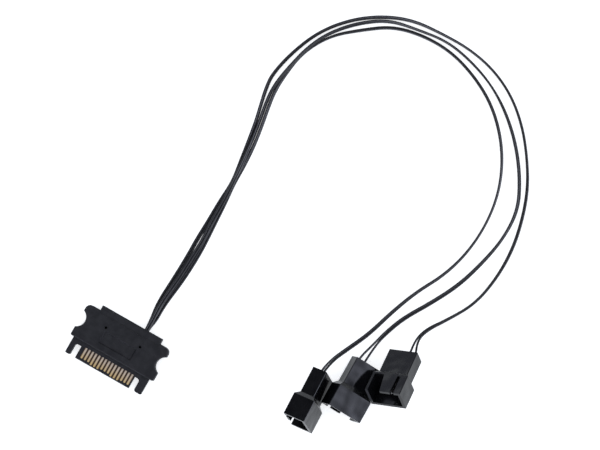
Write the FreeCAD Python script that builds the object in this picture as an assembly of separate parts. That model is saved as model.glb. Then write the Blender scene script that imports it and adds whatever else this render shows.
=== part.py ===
"""Fan power adapter cable: one 15-contact drive-power plug feeding three keyed 4-way fan sockets.

Millimetres, +Z up. The origin is the middle of the plug's flat underside. X runs across the plug,
-Y is the way the plug is pushed home, and everything lies on the plane Z = 0.
"""
import FreeCAD, Part
import os
from math import cos, pi, radians, sin, tan

V = FreeCAD.Vector

# Plug shell
SHELL_LENGTH = 13.8
SHELL_HEIGHT = 5.6
SHELL_WALL = 1.0
REAR_WALL = 1.2
BAND_LEFT = 11.2
BAND_RIGHT = 11.8
BAND_PROUD = 1.8
BAND_STEP_LENGTH = 2.7
BAND_STEP_DEPTH = 0.2
EAR_REACH = 15.9
EAR_REAR_RADIUS = 1.8
EAR_FRONT_RADIUS = 0.5
NOTCH_RADIUS = 3.2
NOTCH_OFFSET = 17.0
NOTCH_Y = -0.75
SHELL_EDGE = 0.3
PANEL_LEFT = 6.3
PANEL_RIGHT = 5.9
PANEL_REAR = 0.3
PANEL_LENGTH = 4.3
PANEL_DEPTH = 0.3
PANEL_SLOPE = 0.25
PINHOLE_RADIUS = 0.45
PINHOLE_X = 6.58
PINHOLE_Y = 0.9
PEG_RADIUS = 0.75
PEG_HEIGHT = 1.3
PEG_X = 13.0
PEG_Y = 3.2
PEG_CLEARANCE = 0.05

# Plug core: block, ledge, guide arms and contact tongue
CORE_CLEARANCE = 0.05
BLOCK_HALF_WIDTH = 11.5
BLOCK_REAR = 2.6
LEDGE_REAR = 4.3
LEDGE_PROUD = 1.7
ARM_LENGTH = 4.3
ARM_LEFT_OUTER = 14.6
ARM_LEFT_INNER = 12.9
ARM_RIGHT_OUTER = 14.5
ARM_RIGHT_INNER = 11.8
ARM_ROOT_RADIUS = 0.85
ARM_TIP_RADIUS = 0.4
ARM_RIGHT_TIP_RADIUS = 0.9
TONGUE_LEFT = 10.83
TONGUE_RIGHT = 9.88
TONGUE_LENGTH = 4.4
TONGUE_THICKNESS = 1.2
TONGUE_LEAD_IN = 0.25
KEY_WIDTH = 1.2
KEY_DROP = 1.2

# Plug contacts
CONTACT_COUNT = 15
CONTACT_PITCH = 1.27
CONTACT_WIDTH = 0.92
CONTACT_THICKNESS = 0.2
CONTACT_PROUD = 0.05
CONTACT_CLEARANCE = 0.02
CONTACT_TIP_GAP = 0.9
CONTACT_TIP_ROUNDING = 0.95
LONG_CONTACT_EXTRA = 0.45
LONG_CONTACTS = (4, 5, 6, 10, 11, 12)
COMB_DEPTH = 0.4
TAIL_WIDTH = 0.6
TAIL_LENGTH = 1.0
GROUND_CONTACT = 12
POWER_CONTACT = 13

# Leads: two round wires moulded side by side
WIRE_RADIUS = 0.36
WIRE_SIDES = 5
PAIR_PITCH = 0.76
LEAD_LIFT = 0.04
STACK_PITCH = 0.9
EXIT_X = 5.5
EXIT_CLEARANCE = 0.16
FAN_LENGTH = 2.3
ARC_SHARE = 0.45

# Fan socket housing
SHROUD_WIDTH = 12.9
SHROUD_HEIGHT = 7.8
SHROUD_LENGTH = 7.7
SHROUD_WALL = 0.95
SHROUD_FLOOR = 0.7
REAR_WIDTH = 10.5
REAR_HEIGHT = 5.1
REAR_LENGTH = 10.9
SHOULDER_LENGTH = 1.5
HOUSING_EDGE = 0.25
GAP_RIGHT = -2.05
TONGUE_ROOT_RIGHT = 2.85
TONGUE_TIP_LEFT = -1.05
TONGUE_TIP_RIGHT = 2.65
SLOT_RIGHT = 4.0
CHAMBER_WIDTH = 2.0
CHAMBER_HEIGHT = 2.6
CHAMBER_WALL = 1.2

# Fan socket pins
PIN_PITCH = 2.54
PIN_WAYS = 4
GROUND_WAY = 1
POWER_WAY = 2
POST_SIZE = 0.64
POST_CLEARANCE = 0.03
POST_TIP = 0.2
POST_RECESS = 2.4
PIN_BOX_WIDTH = 1.6
PIN_BOX_HEIGHT = 1.8
PIN_BOX_LENGTH = 4.4
CRIMP_RADIUS = 0.62
CRIMP_LENGTH = 2.6
CRIMP_CLEARANCE = 0.02
WIRE_STRAIGHT = 5.6

# Where each socket lies: yaw, mouth-up pitch and roll in degrees, X and Y of its shroud's back
SOCKET_POSES = (
    (2.0, 11.6, 109.5, 64.6, 12.5),
    (0.2, 6.0, 160.5, 75.45, 22.6),
    (3.2, 30.0, 33.5, 85.65, 32.9),
)

# Routes of the three leads' middles: X, Y, height above lying on the table, twist in degrees
LEAD_ROUTES = (
    ((EXIT_X, 4.3, 1.5, 0), (5.45, 9.5, 1.5, 0), (5.1, 17.0, 0.1, 0), (6.9, 31.0, 0, 10),
     (6.95, 45.0, 0, 40), (6.55, 60.0, 0, 75), (6.5, 74.0, 0, 90), (4.85, 86.0, 0, 90),
     (3.0, 98.0, 0, 90), (4.2, 111.5, 0, 90), (11.8, 126.5, 0, 90), (25.0, 136.7, 0, 100),
     (41.0, 141.2, 0, 110), (58.0, 138.2, 0, 120), (73.0, 127.8, 0, 120), (84.4, 111.5, 0, 110),
     (87.8, 93.0, 0, 100), (84.2, 74.5, 0, 125), (75.8, 56.5, 0.5, 150), (70.2, 42.5, 2.4, 165),
     (64.6, 30.2, 6.2, 150)),
    ((EXIT_X, 4.3, 3.3, 0), (5.45, 9.5, 3.3, 0), (4.5, 17.0, 1.9, 0), (6.1, 31.0, 0.9, 5),
     (6.1, 45.0, 1.25, 15), (6.05, 60.0, 1.5, 25), (5.4, 74.0, 1.32, 60), (3.9, 86.0, 0, 90),
     (2.05, 98.0, 0, 90), (3.3, 112.2, 0, 90), (10.2, 128.2, 0, 95), (22.5, 138.6, 0, 100),
     (38.0, 142.6, 0, 95), (55.0, 141.7, 0, 90), (71.0, 134.6, 0, 100), (84.5, 121.8, 0, 115),
     (93.8, 108.0, 0, 120), (94.2, 92.0, 0, 125), (89.6, 74.0, 0, 150), (81.0, 57.0, 0, 172),
     (77.0, 48.5, 0.4, 180), (74.6, 41.3, 1.7, 165)),
    ((EXIT_X, 4.3, 2.4, 0), (5.45, 9.5, 2.4, 0), (3.9, 17.0, 1.0, 0), (5.3, 31.0, 0, 10),
     (5.25, 45.0, 0, 40), (5.65, 60.0, 0, 75), (4.4, 74.0, 0, 90), (2.85, 86.0, 0, 90),
     (-0.6, 98.0, 0, 90), (-0.2, 111.0, 0, 90), (7.2, 126.5, 0, 85), (19.5, 138.6, 0, 80),
     (35.5, 144.0, 0, 85), (53.0, 145.2, 0, 90), (69.5, 140.4, 0, 90), (83.5, 129.0, 0, 85),
     (94.0, 113.0, 0, 80), (99.2, 95.0, 0, 75), (98.4, 77.0, 0, 80), (91.8, 60.8, 0, 70),
     (86.9, 51.0, 0.5, 40)),
)
LEAD_CONTACT_STEP = (2, 0, 1)


def box(x0, x1, y0, y1, z0, z1):
    """Block between two corners."""
    return Part.makeBox(x1 - x0, y1 - y0, z1 - z0, V(x0, y0, z0))


def outline(corners, z):
    """Closed outline at height z; each corner is x, y and the radius that rounds it."""
    edges = []
    ends = []
    for i, (x, y, radius) in enumerate(corners):
        here = V(x, y, z)
        before = V(*corners[i - 1][:2], z) - here
        after = V(*corners[(i + 1) % len(corners)][:2], z) - here
        if radius == 0:
            ends.append((here, here))
            continue
        half = before.getAngle(after) / 2
        before.normalize()
        after.normalize()
        reach = radius / tan(half)
        inward = (before + after).normalize()
        middle = here + inward * (radius / sin(half) - radius)
        start = here + before * reach
        finish = here + after * reach
        edges.append(Part.Arc(start, middle, finish).toShape())
        ends.append((start, finish))
    for i, (start, finish) in enumerate(ends):
        following = ends[(i + 1) % len(ends)][0]
        edges.append(Part.LineSegment(finish, following).toShape())
    return Part.Wire(Part.sortEdges(edges)[0])


def plate(corners, z0, z1):
    """Outline extruded from one height to another."""
    return Part.Face(outline(corners, z0)).extrude(V(0, 0, z1 - z0))


def taper(corners, z0, other_corners, z1):
    """Solid that runs straight from one outline to another like it."""
    return Part.makeLoft([outline(corners, z0), outline(other_corners, z1)], True, True)


def rectangle(x0, x1, y0, y1, radius):
    """Corners of a rectangle, all rounded alike."""
    return ((x0, y0, radius), (x1, y0, radius), (x1, y1, radius), (x0, y1, radius))


def edges_at_height(shape, height):
    """Edges that lie wholly in the plane Z = height."""
    return [e for e in shape.Edges if all(abs(v.Z - height) < 1e-6 for v in e.Vertexes)]


# Plug levels and planes that several pieces share
SHELL_REAR = SHELL_LENGTH / 2
SHELL_FRONT = -SHELL_LENGTH / 2
PARTING = SHELL_HEIGHT / 2
CORE_BOTTOM = SHELL_WALL
CORE_TOP = SHELL_HEIGHT - SHELL_WALL
LEDGE_FRONT = SHELL_FRONT - LEDGE_PROUD
TONGUE_BOTTOM = PARTING - TONGUE_THICKNESS / 2
TONGUE_TOP = PARTING + TONGUE_THICKNESS / 2
TONGUE_TIP = LEDGE_FRONT - TONGUE_LENGTH
CONTACT_TOP = TONGUE_TOP + CONTACT_PROUD
CONTACT_BOTTOM = CONTACT_TOP - CONTACT_THICKNESS
TAIL_END = -BLOCK_REAR + TAIL_LENGTH
TAIL_MIDDLE = (CONTACT_TOP + CONTACT_BOTTOM) / 2
EXIT_HALF_WIDTH = PAIR_PITCH / 2 + WIRE_RADIUS + EXIT_CLEARANCE
EXIT_HALF_HEIGHT = STACK_PITCH + WIRE_RADIUS + EXIT_CLEARANCE


def contact_x(number):
    """Middle of a contact, counted from the key end."""
    return (number - (CONTACT_COUNT + 1) / 2) * CONTACT_PITCH


def contact_tip(number):
    """Front end of a contact on the tongue."""
    extra = LONG_CONTACT_EXTRA if number in LONG_CONTACTS else 0
    return TONGUE_TIP + CONTACT_TIP_GAP - extra


def contact_strip(number, grow, top):
    """A contact's flat strip with its rounded tip, grown all round by a clearance."""
    x = contact_x(number)
    half = CONTACT_WIDTH / 2 + grow
    tip = contact_tip(number) - grow
    rounding = half * CONTACT_TIP_ROUNDING
    corners = ((x - half, tip, rounding), (x + half, tip, rounding),
               (x + half, -BLOCK_REAR, 0), (x - half, -BLOCK_REAR, 0))
    return plate(corners, CONTACT_BOTTOM - grow, top)


def plug_contact(number):
    x = contact_x(number)
    strip = contact_strip(number, 0, CONTACT_TOP)
    tail = box(x - TAIL_WIDTH / 2, x + TAIL_WIDTH / 2, -BLOCK_REAR, TAIL_END, CONTACT_BOTTOM, CONTACT_TOP)
    return strip.fuse(tail).removeSplitter()


def core_outline(grow):
    """Plan of the core's block, ledge and arms, grown all round by a clearance."""
    arm_tip = LEDGE_FRONT - ARM_LENGTH
    return (
        (-BLOCK_HALF_WIDTH - grow, -BLOCK_REAR + grow, 0),
        (BLOCK_HALF_WIDTH + grow, -BLOCK_REAR + grow, 0),
        (BLOCK_HALF_WIDTH + grow, -LEDGE_REAR + grow, 0),
        (ARM_RIGHT_OUTER + grow, -LEDGE_REAR + grow, 0),
        (ARM_RIGHT_OUTER + grow, arm_tip, ARM_TIP_RADIUS),
        (ARM_RIGHT_INNER, arm_tip, ARM_RIGHT_TIP_RADIUS),
        (ARM_RIGHT_INNER, LEDGE_FRONT, ARM_ROOT_RADIUS),
        (-ARM_LEFT_INNER, LEDGE_FRONT, ARM_ROOT_RADIUS),
        (-ARM_LEFT_INNER, arm_tip, ARM_TIP_RADIUS),
        (-ARM_LEFT_OUTER - grow, arm_tip, ARM_TIP_RADIUS),
        (-ARM_LEFT_OUTER - grow, -LEDGE_REAR + grow, 0),
        (-BLOCK_HALF_WIDTH - grow, -LEDGE_REAR + grow, 0),
    )


def plug_core():
    body = plate(core_outline(0), CORE_BOTTOM, CORE_TOP)
    tongue = box(-TONGUE_LEFT, TONGUE_RIGHT, TONGUE_TIP, LEDGE_FRONT, TONGUE_BOTTOM, TONGUE_TOP)
    tip_edges = [e for e in tongue.Edges if all(abs(v.Y - TONGUE_TIP) < 1e-6 for v in e.Vertexes)
                 and abs(e.Vertexes[0].Z - e.Vertexes[1].Z) < 1e-6]
    tongue = tongue.makeChamfer(TONGUE_LEAD_IN, tip_edges)
    key_bottom = TONGUE_BOTTOM - KEY_DROP
    key = box(-TONGUE_LEFT, -TONGUE_LEFT + KEY_WIDTH, TONGUE_TIP + TONGUE_LEAD_IN, LEDGE_FRONT,
              key_bottom, TONGUE_BOTTOM)
    core = body.fuse([tongue, key])
    for number in range(1, CONTACT_COUNT + 1):
        x = contact_x(number)
        half = CONTACT_WIDTH / 2 + CONTACT_CLEARANCE
        groove = contact_strip(number, CONTACT_CLEARANCE, CONTACT_TOP + CONTACT_CLEARANCE)
        comb = box(x - half, x + half, LEDGE_FRONT, LEDGE_FRONT + COMB_DEPTH, CONTACT_BOTTOM, CORE_TOP)
        core = core.cut(groove).cut(comb)
    return core.removeSplitter()


def shell_outline():
    """Plan of the plug shell before the finger notches are taken out."""
    ear_rear = SHELL_REAR - BAND_PROUD
    return (
        (-BAND_LEFT, SHELL_REAR, 0), (BAND_RIGHT, SHELL_REAR, 0), (BAND_RIGHT, ear_rear, 0),
        (EAR_REACH, ear_rear, EAR_REAR_RADIUS), (EAR_REACH, SHELL_FRONT, EAR_FRONT_RADIUS),
        (-EAR_REACH, SHELL_FRONT, EAR_FRONT_RADIUS), (-EAR_REACH, ear_rear, EAR_REAR_RADIUS),
        (-BAND_LEFT, ear_rear, 0),
    )


def shell_half(z0, z1, outside):
    """One half of the plug shell, its outer face at height outside."""
    half = plate(shell_outline(), z0, z1)
    for side in (-1, 1):
        notch = Part.makeCylinder(NOTCH_RADIUS, z1 - z0, V(side * NOTCH_OFFSET, NOTCH_Y, z0))
        half = half.cut(notch)
    half = half.makeChamfer(SHELL_EDGE, edges_at_height(half, outside))
    wiring = box(-BAND_LEFT + SHELL_WALL, BAND_RIGHT - SHELL_WALL, -BLOCK_REAR, SHELL_REAR - REAR_WALL,
                 CORE_BOTTOM, CORE_TOP)
    seat = plate(core_outline(CORE_CLEARANCE), CORE_BOTTOM, CORE_TOP)
    wire_exit = box(EXIT_X - EXIT_HALF_WIDTH, EXIT_X + EXIT_HALF_WIDTH, SHELL_REAR - REAR_WALL, SHELL_REAR,
                    PARTING - EXIT_HALF_HEIGHT, PARTING + EXIT_HALF_HEIGHT)
    return half.cut([wiring, seat, wire_exit])


def plug_upper_shell():
    shell = shell_half(PARTING, SHELL_HEIGHT, SHELL_HEIGHT)
    panel_front = -PANEL_REAR - PANEL_LENGTH
    panel_top = rectangle(-PANEL_LEFT, PANEL_RIGHT, panel_front, -PANEL_REAR, 0)
    panel_bed = rectangle(-PANEL_LEFT + PANEL_SLOPE, PANEL_RIGHT - PANEL_SLOPE,
                          panel_front + PANEL_SLOPE, -PANEL_REAR - PANEL_SLOPE, 0)
    cuts = [taper(panel_bed, SHELL_HEIGHT - PANEL_DEPTH, panel_top, SHELL_HEIGHT),
            box(-BAND_LEFT, BAND_RIGHT, SHELL_REAR - BAND_STEP_LENGTH, SHELL_REAR,
                SHELL_HEIGHT - BAND_STEP_DEPTH, SHELL_HEIGHT)]
    for side in (-1, 1):
        cuts.append(Part.makeCylinder(PINHOLE_RADIUS, SHELL_WALL,
                                      V(side * PINHOLE_X, PINHOLE_Y, CORE_TOP)))
        cuts.append(Part.makeCylinder(PEG_RADIUS + PEG_CLEARANCE, PEG_HEIGHT + PEG_CLEARANCE,
                                      V(side * PEG_X, PEG_Y, PARTING)))
    return shell.cut(cuts)


def plug_lower_shell():
    shell = shell_half(0, PARTING, 0)
    pegs = [Part.makeCylinder(PEG_RADIUS, PEG_HEIGHT, V(side * PEG_X, PEG_Y, PARTING)) for side in (-1, 1)]
    return shell.fuse(pegs).removeSplitter()


# Socket planes that the housing, its pins and the leads share
MOUTH = -SHROUD_LENGTH
CAVITY_FLOOR = -SHROUD_FLOOR
CHAMBER_FRONT = CAVITY_FLOOR + CHAMBER_WALL
PIN_BOX_REAR = CHAMBER_FRONT + PIN_BOX_LENGTH
WIRE_END = PIN_BOX_REAR


def way_x(way):
    """Middle of a pin position; position 1 lies beside the solid end of the slotted wall."""
    return ((PIN_WAYS + 1) / 2 - way) * PIN_PITCH


def socket_body():
    """Outside of one fan socket: shroud, shoulder that slopes in all round, and rear block."""
    shroud_section = rectangle(-SHROUD_WIDTH / 2, SHROUD_WIDTH / 2, -SHROUD_HEIGHT / 2, SHROUD_HEIGHT / 2,
                               HOUSING_EDGE)
    rear_section = rectangle(-REAR_WIDTH / 2, REAR_WIDTH / 2, -REAR_HEIGHT / 2, REAR_HEIGHT / 2, HOUSING_EDGE)
    shroud = plate(shroud_section, MOUTH, 0)
    shoulder = taper(shroud_section, 0, rear_section, SHOULDER_LENGTH)
    rear = plate(rear_section, SHOULDER_LENGTH, REAR_LENGTH)
    body = shroud.fuse([shoulder, rear]).removeSplitter()
    body.rotate(V(0, 0, 0), V(1, 0, 0), -90)
    return body


def socket_housing():
    """One fan socket in its own frame: mouth to -Y, slotted wall to +Z."""
    inner_x = SHROUD_WIDTH / 2 - SHROUD_WALL
    inner_z = SHROUD_HEIGHT / 2 - SHROUD_WALL
    cuts = [box(-inner_x, inner_x, MOUTH, CAVITY_FLOOR, -inner_z, inner_z)]
    gap = ((-inner_x, MOUTH, 0), (TONGUE_TIP_LEFT, MOUTH, 0), (GAP_RIGHT, CAVITY_FLOOR, 0),
           (-inner_x, CAVITY_FLOOR, 0))
    slot = ((TONGUE_TIP_RIGHT, MOUTH, 0), (SLOT_RIGHT, MOUTH, 0), (SLOT_RIGHT, CAVITY_FLOOR, 0),
            (TONGUE_ROOT_RIGHT, CAVITY_FLOOR, 0))
    cuts.append(plate(gap, inner_z, SHROUD_HEIGHT / 2))
    cuts.append(plate(slot, inner_z, SHROUD_HEIGHT / 2))
    post_hole = POST_SIZE / 2 + POST_CLEARANCE
    for way in range(1, PIN_WAYS + 1):
        x = way_x(way)
        cuts.append(box(x - CHAMBER_WIDTH / 2, x + CHAMBER_WIDTH / 2, CHAMBER_FRONT, REAR_LENGTH,
                        -CHAMBER_HEIGHT / 2, CHAMBER_HEIGHT / 2))
        cuts.append(box(x - post_hole, x + post_hole, CAVITY_FLOOR, CHAMBER_FRONT, -post_hole, post_hole))
    return socket_body().cut(cuts)


def socket_pin(way):
    """Square post, terminal box and crimp barrel of one pin, in the socket's own frame."""
    x = way_x(way)
    half = POST_SIZE / 2
    tip = MOUTH + POST_RECESS
    post = box(x - half, x + half, tip, CHAMBER_FRONT, -half, half)
    tip_edges = [e for e in post.Edges if all(abs(v.Y - tip) < 1e-6 for v in e.Vertexes)]
    post = post.makeChamfer(POST_TIP, tip_edges)
    body = box(x - PIN_BOX_WIDTH / 2, x + PIN_BOX_WIDTH / 2, CHAMBER_FRONT, PIN_BOX_REAR,
               -PIN_BOX_HEIGHT / 2, PIN_BOX_HEIGHT / 2)
    barrel = Part.makeCylinder(CRIMP_RADIUS, CRIMP_LENGTH, V(x, PIN_BOX_REAR, 0), V(0, 1, 0))
    bore = Part.makeCylinder(WIRE_RADIUS + CRIMP_CLEARANCE, CRIMP_LENGTH, V(x, PIN_BOX_REAR, 0), V(0, 1, 0))
    return post.fuse([body, barrel]).cut(bore).removeSplitter()


def socket_placement(index, housing):
    """Turns a socket as it lies and lowers it until its lowest corner meets the table."""
    yaw, pitch, roll, x, y = SOCKET_POSES[index]
    turn = (FreeCAD.Rotation(V(0, 0, 1), yaw) * FreeCAD.Rotation(V(1, 0, 0), -pitch)
            * FreeCAD.Rotation(V(0, 1, 0), -roll))
    turned = housing.copy()
    turned.Placement = FreeCAD.Placement(V(0, 0, 0), turn)
    return FreeCAD.Placement(V(x, y, -turned.BoundBox.ZMin), turn)


def placed(shape, placement):
    moved = shape.copy()
    moved.Placement = placement
    return moved


def wire_points(index, side, placement):
    """Route of one wire from its plug contact to its socket pin; side +1 is the ground wire."""
    contact = (GROUND_CONTACT if side > 0 else POWER_CONTACT) - side * LEAD_CONTACT_STEP[index]
    x = contact_x(contact)
    points = [V(x, TAIL_END, TAIL_MIDDLE), V(x, TAIL_END + FAN_LENGTH, TAIL_MIDDLE)]
    route = LEAD_ROUTES[index]
    for i, (x, y, raised, twist) in enumerate(route):
        before = route[max(i - 1, 0)]
        after = route[min(i + 1, len(route) - 1)]
        along = V(after[0] - before[0], after[1] - before[1], 0).normalize()
        left = V(-along.y, along.x, 0)
        offset = (left * cos(radians(twist)) + V(0, 0, sin(radians(twist)))) * (side * PAIR_PITCH / 2)
        lying = WIRE_RADIUS + LEAD_LIFT + PAIR_PITCH / 2 * abs(sin(radians(twist)))
        points.append(V(x, y, lying + raised) + offset)
    pin_x = way_x(GROUND_WAY if side > 0 else POWER_WAY)
    points.append(placement.multVec(V(pin_x, WIRE_END + WIRE_STRAIGHT, 0)))
    points.append(placement.multVec(V(pin_x, WIRE_END, 0)))
    return points


def wire_path(points):
    """Straight runs joined by tangent arcs, each arc as large as its two runs allow."""
    edges = []
    radii = []
    start = points[0]
    for before, here, after in zip(points, points[1:], points[2:]):
        back = before - here
        ahead = after - here
        shorter = min(back.Length, ahead.Length)
        half_turn = (radians(180) - back.getAngle(ahead)) / 2
        reach = ARC_SHARE * shorter
        radius = reach / tan(half_turn)
        radii.append(radius)
        back.normalize()
        ahead.normalize()
        inward = (back + ahead).normalize()
        middle = here + inward * (radius / cos(half_turn) - radius)
        edges.append(Part.LineSegment(start, here + back * reach).toShape())
        edges.append(Part.Arc(here + back * reach, middle, here + ahead * reach).toShape())
        start = here + ahead * reach
    edges.append(Part.LineSegment(start, points[-1]).toShape())
    return Part.Wire(edges), radii


def wire_tube(points, label):
    """Plain faceted tube along a wire's route, its corners on the wire's radius."""
    path, radii = wire_path(points)
    ahead = (points[1] - points[0]).normalize()
    across = ahead.cross(V(0, 0, 1)).normalize()
    up = across.cross(ahead)
    step = 2 * pi / WIRE_SIDES
    corners = [points[0] + (across * cos(k * step) + up * sin(k * step)) * WIRE_RADIUS
               for k in range(WIRE_SIDES)]
    section = Part.makePolygon(corners + corners[:1])
    tube = path.makePipeShell([section], True, False)
    expected = Part.Face(section).Area * path.Length
    print(f"{label}: length {path.Length:.1f}, least radius {min(radii):.1f}, "
          f"volume over section times length {tube.Volume / expected:.4f}")
    return tube


def export(shape, node):
    print(f"{node}: valid {shape.isValid()}, solids {len(shape.Solids)}, volume {shape.Volume:.2f}")
    shape.exportStep(f"parts/{node}.step")


def main():
    os.makedirs("parts", exist_ok=True)
    export(plug_core(), "plug_core")
    export(plug_upper_shell(), "plug_upper_shell")
    export(plug_lower_shell(), "plug_lower_shell")
    for number in range(1, CONTACT_COUNT + 1):
        export(plug_contact(number), f"plug_contact_{number:02d}")
    housing = socket_housing()
    for index in range(len(SOCKET_POSES)):
        name = f"fan_socket_{index + 1}"
        placement = socket_placement(index, housing)
        export(placed(housing, placement), f"{name}_housing")
        export(placed(socket_pin(GROUND_WAY), placement), f"{name}_ground_pin")
        export(placed(socket_pin(POWER_WAY), placement), f"{name}_power_pin")
        wires = [wire_tube(wire_points(index, side, placement), f"lead {index + 1} wire {side}")
                 for side in (1, -1)]
        export(Part.makeCompound(wires), f"lead_{index + 1}")


main()
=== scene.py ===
"""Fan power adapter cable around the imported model: leads, materials, camera and light."""
import bpy
import bmesh
from math import cos, pi, radians, sin
from mathutils import Matrix, Vector


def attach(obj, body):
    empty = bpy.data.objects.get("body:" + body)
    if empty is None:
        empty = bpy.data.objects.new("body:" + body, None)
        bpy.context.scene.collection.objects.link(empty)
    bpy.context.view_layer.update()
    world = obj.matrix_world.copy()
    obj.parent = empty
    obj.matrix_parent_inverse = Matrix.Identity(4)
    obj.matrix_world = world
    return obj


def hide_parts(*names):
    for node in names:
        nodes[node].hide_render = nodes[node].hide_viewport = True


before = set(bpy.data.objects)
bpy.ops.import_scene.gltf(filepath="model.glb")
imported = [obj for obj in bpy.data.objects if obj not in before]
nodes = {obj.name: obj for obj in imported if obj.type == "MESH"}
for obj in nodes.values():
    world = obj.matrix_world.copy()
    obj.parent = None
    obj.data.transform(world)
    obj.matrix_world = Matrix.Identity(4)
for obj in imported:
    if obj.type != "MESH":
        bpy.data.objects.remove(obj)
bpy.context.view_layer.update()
scene = bpy.context.scene

SOCKETS = (1, 2, 3)
PINS = ("ground_pin", "power_pin")
CONTACTS = range(1, 16)

# Leads, in metres. The skin is a little thicker than the CAD wires, so that each pair touches.
WIRE_RADIUS = 0.00036
SKIN_RADIUS = 0.00038
PAIR_PITCH = 0.00076
LEAD_LIFT = 0.00004
EXIT_X = 0.0055
FAN_START_Y = 0.0015
FAN_SPREAD = 0.0007
WIRE_SIDES = 14
SPLINE_STEPS = 10

# Routes of the leads' middles: X, Y, height above lying on the table, twist in degrees
LEAD_ROUTES = (
    ((EXIT_X, 0.0043, 0.0015, 0), (0.0056, 0.0080, 0.0015, 0), (0.0063, 0.0115, 0.0009, 0),
     (0.0061, 0.0170, 0.0001, 0), (0.0075, 0.0277, 0, 0), (0.0079, 0.0375, 0, 0),
     (0.0077, 0.0430, 0, 4), (0.0073, 0.0492, 0, 10), (0.0069, 0.0570, 0, 30),
     (0.0062, 0.0645, 0, 42), (0.0063, 0.0715, 0, 55), (0.0058, 0.0790, 0, 58),
     (0.0047, 0.0865, 0, 58), (0.0036, 0.0923, 0, 58), (0.0028, 0.0978, 0, 60),
     (0.00285, 0.1034, 0, 74), (0.0043, 0.1143, 0, 95), (0.0095, 0.1243, 0, 118),
     (0.0179, 0.13145, 0, 136), (0.0267, 0.1378, 0, 140), (0.03745, 0.1402, 0, 130),
     (0.0483, 0.13995, 0, 124), (0.05865, 0.1367, 0, 122), (0.0682, 0.1315, 0, 125),
     (0.07615, 0.1240, 0, 125), (0.08225, 0.1149, 0, 118), (0.08605, 0.10465, 0, 108),
     (0.0873, 0.0938, 0, 100), (0.0864, 0.0829, 0, 104), (0.0833, 0.0725, 0, 116),
     (0.0780, 0.0629, 0.0001, 122), (0.07415, 0.0530, 0.0006, 138), (0.0710, 0.0426, 0.0020, 156),
     (0.0668, 0.0338, 0.0046, 172), (0.0646, 0.0290, 0.0064, 158)),
    ((EXIT_X, 0.0043, 0.0033, 0), (0.00555, 0.0080, 0.0033, 0), (0.0055, 0.0115, 0.0027, 0),
     (0.0051, 0.0170, 0.0019, 0), (0.0061, 0.0277, 0.00085, 0), (0.00635, 0.0360, 0.0008, 0),
     (0.0067, 0.0418, 0.0009, 0), (0.0063, 0.0485, 0.0011, 5), (0.0064, 0.0570, 0.0021, 20),
     (0.0060, 0.0645, 0.0030, 30), (0.0054, 0.0715, 0.0018, 48), (0.0045, 0.0790, 0.0004, 58),
     (0.0034, 0.0865, 0, 58), (0.0023, 0.0923, 0, 58), (0.0016, 0.0978, 0.0004, 60),
     (0.0020, 0.1030, 0.0014, 62), (0.0031, 0.1086, 0.0020, 68), (0.0050, 0.1166, 0.0019, 70),
     (0.0086, 0.1245, 0.0010, 64), (0.01537, 0.1326, 0, 52), (0.0242, 0.1390, 0, 60),
     (0.03495, 0.1411, 0, 88), (0.0456, 0.14245, 0, 90), (0.0564, 0.1403, 0, 90),
     (0.06645, 0.1364, 0, 100), (0.0754, 0.1303, 0, 125), (0.08315, 0.1227, 0, 130),
     (0.0895, 0.1139, 0, 138), (0.0943, 0.10405, 0, 136), (0.09465, 0.0930, 0, 112),
     (0.09245, 0.0822, 0, 132), (0.0892, 0.07185, 0, 150), (0.0841, 0.06215, 0, 156),
     (0.0785, 0.05305, 0.0002, 174), (0.0757, 0.0456, 0.0008, 180), (0.0745, 0.0408, 0.0019, 168)),
    ((EXIT_X, 0.0043, 0.0024, 0), (0.00545, 0.0080, 0.0024, 0), (0.00505, 0.0115, 0.0018, 0),
     (0.0042, 0.0170, 0.0010, 0), (0.0047, 0.0277, 0, 0), (0.0049, 0.0365, 0, 0),
     (0.0048, 0.0420, 0, 0), (0.0051, 0.0490, 0.0001, 10), (0.00525, 0.0570, 0.0010, 28),
     (0.0058, 0.0645, 0.0015, 38), (0.0046, 0.0715, 0.0008, 52), (0.0034, 0.0790, 0, 58),
     (0.0022, 0.0865, 0, 58), (0.0009, 0.0921, 0, 56), (-0.0003, 0.0975, 0, 48),
     (-0.0010, 0.1032, 0, 55), (0.0014, 0.11355, 0, 60), (0.0057, 0.12375, 0, 70),
     (0.01266, 0.13234, 0, 64), (0.0213, 0.1388, 0, 54), (0.0313, 0.1430, 0, 66),
     (0.0423, 0.1439, 0, 84), (0.05315, 0.1439, 0, 90), (0.0637, 0.1417, 0, 90),
     (0.07335, 0.1369, 0, 88), (0.0816, 0.1297, 0, 80), (0.08825, 0.1211, 0, 82),
     (0.09375, 0.1118, 0, 66), (0.09725, 0.10145, 0, 64), (0.09925, 0.0907, 0, 58),
     (0.09915, 0.0798, 0, 70), (0.0970, 0.06895, 0, 74), (0.0915, 0.0597, 0.0001, 66),
     (0.0874, 0.0539, 0.0007, 38), (0.0858, 0.0489, 0.0024, 22)),
)
# Where each wire enters its terminal: ground wire, then power wire, each with its last two points
WIRE_ENDS = (
    (((0.062945, 0.023457, 0.009212), (0.063136, 0.017974, 0.010338)),
     ((0.063809, 0.023005, 0.006867), (0.064000, 0.017523, 0.007993))),
    (((0.071822, 0.033163, 0.005896), (0.071841, 0.027594, 0.006481)),
     ((0.074216, 0.033083, 0.005053), (0.074236, 0.027513, 0.005638))),
    (((0.088256, 0.043206, 0.006289), (0.088527, 0.038364, 0.009089)),
     ((0.086180, 0.042388, 0.005074), (0.086451, 0.037546, 0.007874))),
)

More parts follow.
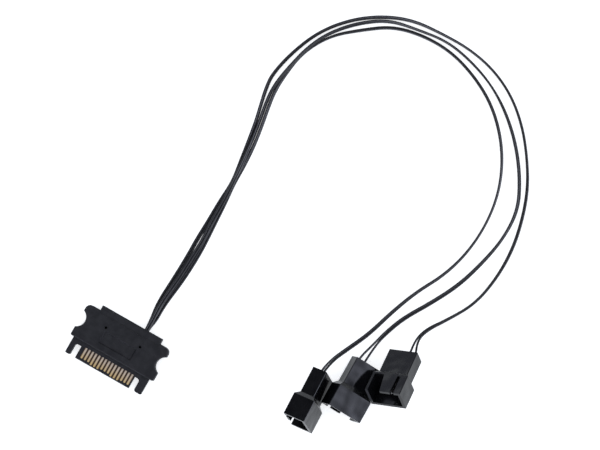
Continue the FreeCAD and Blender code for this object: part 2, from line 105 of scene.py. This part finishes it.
# Camera of the photograph: degrees, metres, and millimetres for its lens and sensor
CAMERA_AZIMUTH = 29.6
CAMERA_ELEVATION = 85.5
CAMERA_DISTANCE = 0.700
CAMERA_TARGET = (0.03261, 0.06326, 0.0)
CAMERA_CLIP = (0.01, 10)
CAMERA_LENS = 124.15
SENSOR_WIDTH = 36.0

# Materials. A noise has its features per metre, its detail and for some its stretch on X, Y and Z;
# a bump has its depth in metres and its strength; tones and roughness run from low to high. The
# shift of the sockets' waviness is in metres.
PLUG_MOTTLE = (420, 5)
PLUG_TONES = ((0.0060, 0.0064, 0.0084), (0.0130, 0.0135, 0.0164))
PLUG_ROUGHNESS = (0.40, 0.56)
PLUG_SPECULAR = 0.26
PLUG_GRAIN = (4200, 3)
PLUG_GRAIN_BUMP = (0.00005, 0.6)

SOCKET_MOTTLE = (260, 4)
SOCKET_TONES = ((0.0026, 0.0028, 0.0036), (0.0042, 0.0044, 0.0056))
SOCKET_ROUGHNESS = (0.14, 0.20)
SOCKET_WAVE = (150, 1)
SOCKET_WAVE_SHIFT = (0.0, 0.008, 0.005)
SOCKET_WAVE_BUMP = (0.0009, 0.5)
SOCKET_GRAIN = (5200, 2)
SOCKET_GRAIN_BUMP = (0.00001, 0.03)

LEAD_MOTTLE = (300, 4)
LEAD_TONES = ((0.0092, 0.0094, 0.0112), (0.0132, 0.0135, 0.0158))
LEAD_ROUGHNESS = (0.20, 0.28)
LEAD_SPECULAR = 0.50
LEAD_GRAIN = (4200, 2)
LEAD_GRAIN_BUMP = (0.00001, 0.1)

# The contacts' plating runs from tip to root, and painted shade darkens their edges, standing in
# for the darker reflection of the rolled edges, between two distances from the middle of a strip,
# in pitches. Pitch, tip and root are in metres.
CONTACT_PITCH = 0.00127
CONTACT_TIP_Y = -0.0122
CONTACT_ROOT_Y = -0.0094
CONTACT_PLATING = ((0.68, 0.50, 0.22), (0.64, 0.54, 0.41))
# Painted shade: the plain colour, then the brown that each strip darkens to at its edges
CONTACT_EDGE_PAINTED_SHADE = ((1, 1, 1), (0.28, 0.175, 0.09))
CONTACT_EDGE_SHADE_SPAN = (0.12, 0.33)
CONTACT_WIPE = (900, 4, (6, 0.6, 1))
CONTACT_ROUGHNESS = (0.30, 0.44)
CONTACT_WIPE_BUMP = (0.00001, 0.25)
HALF_PITCH = 0.5

PIN_LINES = (1800, 3, (4, 0.5, 4))
PIN_TONES = ((0.60, 0.59, 0.56), (0.80, 0.79, 0.76))
PIN_ROUGHNESS = (0.22, 0.36)

# Light: even daylight, and in what the gloss reflects a dim room with six soft lights. Each light
# has the way to its middle, the cosines of its faded edge and full core, and a brightness.
DAYLIGHT = 1.0
DAYLIGHT_TINT = (0.97, 0.985, 1.0, 1)
ROOM_TINT = (0.79, 0.83, 1.0, 1)
ROOM_GLOSS = 0.06
ROOM_LIGHTS = (
    ((0.738, 0.443, 0.503), 0.86, 0.985, 2.5),
    ((0.0, 0.0, 1.0), 0.74, 0.98, 0.80),
    ((-0.81, 0.585, 0.05), 0.78, 0.99, 0.42),
    ((0.780, -0.321, 0.540), 0.88, 0.97, 2.0),
    ((0.893, 0.331, 0.299), 0.90, 0.98, 3.5),
    ((0.176, -0.815, 0.549), 0.82, 0.97, 5.0),
)

# Floor: sizes in metres, and the glow that the camera and the gloss see
FLOOR_SIZE = 4.0
FLOOR_DROP = 0.00003
FLOOR_WHITE = (0.80, 0.83, 0.88, 1)
FLOOR_GLOW_TINT = (1, 1, 1, 1)
FLOOR_GLOW_SEEN = 0.62
FLOOR_GLOW_REFLECTED = 0.16


def new_material(name):
    """New node material; returns it with its node tree and its main shader."""
    material = bpy.data.materials.new(name)
    material.use_nodes = True
    tree = material.node_tree
    return material, tree, tree.nodes["Principled BSDF"]


def noise(tree, scale, detail, stretch=(1, 1, 1), shift=(0, 0, 0)):
    """Noise over the object's own coordinates, in features per metre."""
    place = tree.nodes.new("ShaderNodeTexCoord")
    size = tree.nodes.new("ShaderNodeMapping")
    size.inputs["Scale"].default_value = stretch
    size.inputs["Location"].default_value = shift
    field = tree.nodes.new("ShaderNodeTexNoise")
    field.inputs["Scale"].default_value = scale
    field.inputs["Detail"].default_value = detail
    tree.links.new(place.outputs["Object"], size.inputs["Vector"])
    tree.links.new(size.outputs["Vector"], field.inputs["Vector"])
    return field.outputs["Fac"]


def ramp(tree, value, low, high, start=0.35, end=0.65):
    """Colour that runs from low to high as value runs from start to end."""
    node = tree.nodes.new("ShaderNodeValToRGB")
    node.color_ramp.elements[0].position = start
    node.color_ramp.elements[1].position = end
    node.color_ramp.elements[0].color = (*low, 1)
    node.color_ramp.elements[1].color = (*high, 1)
    tree.links.new(value, node.inputs["Fac"])
    return node.outputs["Color"]


def span(tree, value, low, high, start=0.3, end=0.7):
    """Number that runs from low to high as value runs from start to end."""
    node = tree.nodes.new("ShaderNodeMapRange")
    node.inputs["From Min"].default_value = start
    node.inputs["From Max"].default_value = end
    node.inputs["To Min"].default_value = low
    node.inputs["To Max"].default_value = high
    tree.links.new(value, node.inputs["Value"])
    return node.outputs["Result"]


def calculate(tree, operation, value, number):
    """One step of arithmetic on a value."""
    node = tree.nodes.new("ShaderNodeMath")
    node.operation = operation
    node.inputs[1].default_value = number
    tree.links.new(value, node.inputs[0])
    return node.outputs["Value"]


def tint(tree, colour, filter_colour):
    """One colour seen through another."""
    node = tree.nodes.new("ShaderNodeMix")
    node.data_type = "RGBA"
    node.blend_type = "MULTIPLY"
    node.inputs["Factor"].default_value = 1.0
    tree.links.new(colour, node.inputs["A"])
    tree.links.new(filter_colour, node.inputs["B"])
    return node.outputs["Result"]


def bump(tree, shader, height, depth, strength, under=None):
    """Raises the surface by a height field, over another bump where one is given."""
    node = tree.nodes.new("ShaderNodeBump")
    node.inputs["Distance"].default_value = depth
    node.inputs["Strength"].default_value = strength
    tree.links.new(height, node.inputs["Height"])
    if under is not None:
        tree.links.new(under, node.inputs["Normal"])
    tree.links.new(node.outputs["Normal"], shader.inputs["Normal"])
    return node.outputs["Normal"]


def mottle(tree, shader, field, tones, roughness):
    """Colour and roughness that both follow one noise."""
    tree.links.new(ramp(tree, field, *tones), shader.inputs["Base Color"])
    tree.links.new(span(tree, field, *roughness), shader.inputs["Roughness"])


def plug_plastic():
    """Fine-grained matte black moulding."""
    material, tree, shader = new_material("plug_moulded_black")
    mottle(tree, shader, noise(tree, *PLUG_MOTTLE), PLUG_TONES, PLUG_ROUGHNESS)
    shader.inputs["Specular IOR Level"].default_value = PLUG_SPECULAR
    bump(tree, shader, noise(tree, *PLUG_GRAIN), *PLUG_GRAIN_BUMP)
    return material


def socket_plastic():
    """Smooth, glossy black moulding with the slight waviness of a thin wall."""
    material, tree, shader = new_material("socket_moulded_black")
    mottle(tree, shader, noise(tree, *SOCKET_MOTTLE), SOCKET_TONES, SOCKET_ROUGHNESS)
    wave = noise(tree, *SOCKET_WAVE, shift=SOCKET_WAVE_SHIFT)
    under = bump(tree, shader, wave, *SOCKET_WAVE_BUMP)
    bump(tree, shader, noise(tree, *SOCKET_GRAIN), *SOCKET_GRAIN_BUMP, under)
    return material


def lead_insulation():
    """Soft satin black insulation, faintly uneven along its length."""
    material, tree, shader = new_material("lead_soft_black")
    mottle(tree, shader, noise(tree, *LEAD_MOTTLE), LEAD_TONES, LEAD_ROUGHNESS)
    shader.inputs["Specular IOR Level"].default_value = LEAD_SPECULAR
    bump(tree, shader, noise(tree, *LEAD_GRAIN), *LEAD_GRAIN_BUMP)
    return material


def contact_gold():
    """Gold plate with faint wiping marks, paler to the root, with painted shade along the rolled
    edges.
    """
    material, tree, shader = new_material("contact_gold_plate")
    place = tree.nodes.new("ShaderNodeTexCoord")
    axes = tree.nodes.new("ShaderNodeSeparateXYZ")
    tree.links.new(place.outputs["Object"], axes.inputs["Vector"])
    along = span(tree, axes.outputs["Y"], 0, 1, CONTACT_TIP_Y, CONTACT_ROOT_Y)
    plating = ramp(tree, along, *CONTACT_PLATING, 0, 1)
    pitches = calculate(tree, "DIVIDE", axes.outputs["X"], CONTACT_PITCH)
    off_middle = calculate(tree, "PINGPONG", pitches, HALF_PITCH)
    # painted shade: each strip darkens to brown towards its edges, for the rolled edges' darker
    # reflection
    edge = ramp(tree, off_middle, *CONTACT_EDGE_PAINTED_SHADE, *CONTACT_EDGE_SHADE_SPAN)
    tree.links.new(tint(tree, plating, edge), shader.inputs["Base Color"])
    wipe = noise(tree, *CONTACT_WIPE)
    tree.links.new(span(tree, wipe, *CONTACT_ROUGHNESS), shader.inputs["Roughness"])
    shader.inputs["Metallic"].default_value = 1.0
    bump(tree, shader, wipe, *CONTACT_WIPE_BUMP)
    return material


def pin_tin():
    """Bright tin plate with fine drawing lines."""
    material, tree, shader = new_material("pin_tin_plate")
    mottle(tree, shader, noise(tree, *PIN_LINES), PIN_TONES, PIN_ROUGHNESS)
    shader.inputs["Metallic"].default_value = 1.0
    return material


def spline_points(controls):
    """Points along the smooth spline that has the given points as its controls."""
    curve = bpy.data.curves.new("route", "CURVE")
    curve.dimensions = "3D"
    line = curve.splines.new("NURBS")
    line.points.add(len(controls) - 1)
    for point, place in zip(line.points, controls):
        point.co = (*place, 1)
    line.order_u = 3
    line.use_endpoint_u = True
    line.resolution_u = SPLINE_STEPS
    holder = bpy.data.objects.new("route", curve)
    scene.collection.objects.link(holder)
    bpy.context.view_layer.update()
    evaluated = holder.evaluated_get(bpy.context.evaluated_depsgraph_get())
    mesh = bpy.data.meshes.new_from_object(evaluated)
    points = [v.co.copy() for v in mesh.vertices]
    bpy.data.objects.remove(holder)
    bpy.data.curves.remove(curve)
    bpy.data.meshes.remove(mesh)
    return points


def wire_controls(index, side):
    """Control points of one wire, from the plug into its terminal; side +1 is the ground wire."""
    route = LEAD_ROUTES[index]
    controls = []
    for i, (x, y, raised, twist) in enumerate(route):
        before = route[max(i - 1, 0)]
        after = route[min(i + 1, len(route) - 1)]
        along = Vector((after[0] - before[0], after[1] - before[1], 0)).normalized()
        left = Vector((-along.y, along.x, 0))
        turn = radians(twist)
        offset = (left * cos(turn) + Vector((0, 0, sin(turn)))) * (side * PAIR_PITCH / 2)
        lying = WIRE_RADIUS + LEAD_LIFT + PAIR_PITCH / 2 * abs(sin(turn))
        controls.append(Vector((x, y, lying + raised)) + offset)
    fan = controls[0] + Vector((-side * FAN_SPREAD, FAN_START_Y - controls[0].y, 0))
    ends = WIRE_ENDS[index][0 if side > 0 else 1]
    return [fan] + controls + [Vector(end) for end in ends]


def add_tube(mesh, line, radius):
    """Closed round tube along a line of points."""
    ahead = (line[1] - line[0]).normalized()
    across = ahead.cross(Vector((0, 0, 1))).normalized()
    rings = []
    for i, point in enumerate(line):
        along = (line[min(i + 1, len(line) - 1)] - line[max(i - 1, 0)]).normalized()
        across = (across - along * across.dot(along)).normalized()
        up = along.cross(across)
        ring = []
        for k in range(WIRE_SIDES):
            turn = 2 * pi * k / WIRE_SIDES
            ring.append(mesh.verts.new(point + (across * cos(turn) + up * sin(turn)) * radius))
        rings.append(ring)
    for ring, following in zip(rings, rings[1:]):
        for k in range(WIRE_SIDES):
            n = (k + 1) % WIRE_SIDES
            mesh.faces.new((ring[k], ring[n], following[n], following[k]))
    mesh.faces.new(list(reversed(rings[0])))
    mesh.faces.new(rings[-1])


def add_lead(index, material):
    """One twin lead, two touching round wires from the plug into its socket, in place of the
    model's lead.
    """
    name = f"lead_{index + 1}"
    wires = [spline_points(wire_controls(index, side)) for side in (1, -1)]
    mesh = bmesh.new()
    for line in wires:
        add_tube(mesh, line, SKIN_RADIUS)
    bmesh.ops.recalc_face_normals(mesh, faces=mesh.faces)
    data = bpy.data.meshes.new(f"{name}_twin")
    mesh.to_mesh(data)
    mesh.free()
    for face in data.polygons:
        face.use_smooth = True
    data.materials.append(material)
    lead = bpy.data.objects.new(f"{name}_twin", data)
    scene.collection.objects.link(lead)
    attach(lead, "root")
    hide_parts(name)


def dress(names, material):
    """Gives CAD nodes their material."""
    for name in names:
        node = nodes[name]
        if not node.material_slots:
            node.data.materials.append(material)
        for place in node.material_slots:
            place.material = material


def add_floor():
    """White table top that goes on past the picture and still takes the object's shadow."""
    half = FLOOR_SIZE / 2
    corners = [(x, y, -FLOOR_DROP)
               for x, y in ((-half, -half), (half, -half), (half, half), (-half, half))]
    data = bpy.data.meshes.new("table_top")
    data.from_pydata(corners, [], [(0, 1, 2, 3)])
    floor = bpy.data.objects.new("table_top", data)
    scene.collection.objects.link(floor)
    material, tree, shader = new_material("table_white")
    shader.inputs["Base Color"].default_value = FLOOR_WHITE
    shader.inputs["Roughness"].default_value = 1.0
    shader.inputs["Specular IOR Level"].default_value = 0.0
    shader.inputs["Emission Color"].default_value = FLOOR_GLOW_TINT
    rays = tree.nodes.new("ShaderNodeLightPath")
    seen = calculate(tree, "MULTIPLY", rays.outputs["Is Camera Ray"], FLOOR_GLOW_SEEN)
    glow = tree.nodes.new("ShaderNodeMath")
    glow.operation = "MULTIPLY_ADD"
    glow.inputs[1].default_value = FLOOR_GLOW_REFLECTED
    tree.links.new(rays.outputs["Is Glossy Ray"], glow.inputs[0])
    tree.links.new(seen, glow.inputs[2])
    tree.links.new(glow.outputs["Value"], shader.inputs["Emission Strength"])
    data.materials.append(material)


def add_world():
    """Daylight for all but the gloss, which sees the room and its lights."""
    world = bpy.data.worlds.new("studio")
    scene.world = world
    world.use_nodes = True
    tree = world.node_tree
    daylight = tree.nodes["Background"]
    daylight.inputs["Color"].default_value = DAYLIGHT_TINT
    daylight.inputs["Strength"].default_value = DAYLIGHT
    way = tree.nodes.new("ShaderNodeTexCoord")
    room = tree.nodes.new("ShaderNodeBackground")
    room.inputs["Color"].default_value = ROOM_TINT
    total = tree.nodes.new("ShaderNodeValue").outputs["Value"]
    total.default_value = ROOM_GLOSS
    for middle, edge, core, brightness in ROOM_LIGHTS:
        near = tree.nodes.new("ShaderNodeVectorMath")
        near.operation = "DOT_PRODUCT"
        near.inputs[1].default_value = Vector(middle).normalized()
        tree.links.new(way.outputs["Generated"], near.inputs[0])
        fade = tree.nodes.new("ShaderNodeMapRange")
        fade.interpolation_type = "SMOOTHSTEP"
        fade.inputs["From Min"].default_value = edge
        fade.inputs["From Max"].default_value = core
        fade.inputs["To Max"].default_value = brightness
        tree.links.new(near.outputs["Value"], fade.inputs["Value"])
        add = tree.nodes.new("ShaderNodeMath")
        tree.links.new(fade.outputs["Result"], add.inputs[0])
        tree.links.new(total, add.inputs[1])
        total = add.outputs["Value"]
    tree.links.new(total, room.inputs["Strength"])
    rays = tree.nodes.new("ShaderNodeLightPath")
    choose = tree.nodes.new("ShaderNodeMixShader")
    tree.links.new(rays.outputs["Is Glossy Ray"], choose.inputs["Fac"])
    tree.links.new(daylight.outputs["Background"], choose.inputs[1])
    tree.links.new(room.outputs["Background"], choose.inputs[2])
    tree.links.new(choose.outputs["Shader"], tree.nodes["World Output"].inputs["Surface"])


def add_camera():
    """Camera where the photograph was taken from."""
    turn, rise = radians(CAMERA_AZIMUTH), radians(CAMERA_ELEVATION)
    right = Vector((cos(turn), sin(turn), 0))
    back = Vector((sin(turn) * cos(rise), -cos(turn) * cos(rise), sin(rise)))
    up = back.cross(right)
    data = bpy.data.cameras.new("photo_camera")
    data.sensor_fit = "HORIZONTAL"
    data.sensor_width = SENSOR_WIDTH
    data.lens = CAMERA_LENS
    data.clip_start, data.clip_end = CAMERA_CLIP
    camera = bpy.data.objects.new("photo_camera", data)
    scene.collection.objects.link(camera)
    place = Matrix.Translation(Vector(CAMERA_TARGET) + back * CAMERA_DISTANCE)
    camera.matrix_world = place @ Matrix((right, up, back)).transposed().to_4x4()
    scene.camera = camera


dress(["plug_core", "plug_upper_shell", "plug_lower_shell"], plug_plastic())
dress([f"plug_contact_{n:02d}" for n in CONTACTS], contact_gold())
dress([f"fan_socket_{n}_housing" for n in SOCKETS], socket_plastic())
dress([f"fan_socket_{n}_{pin}" for n in SOCKETS for pin in PINS], pin_tin())
insulation = lead_insulation()
for lead_index in range(len(LEAD_ROUTES)):
    add_lead(lead_index, insulation)
add_floor()
add_world()
add_camera()
scene.view_settings.view_transform = "Standard"
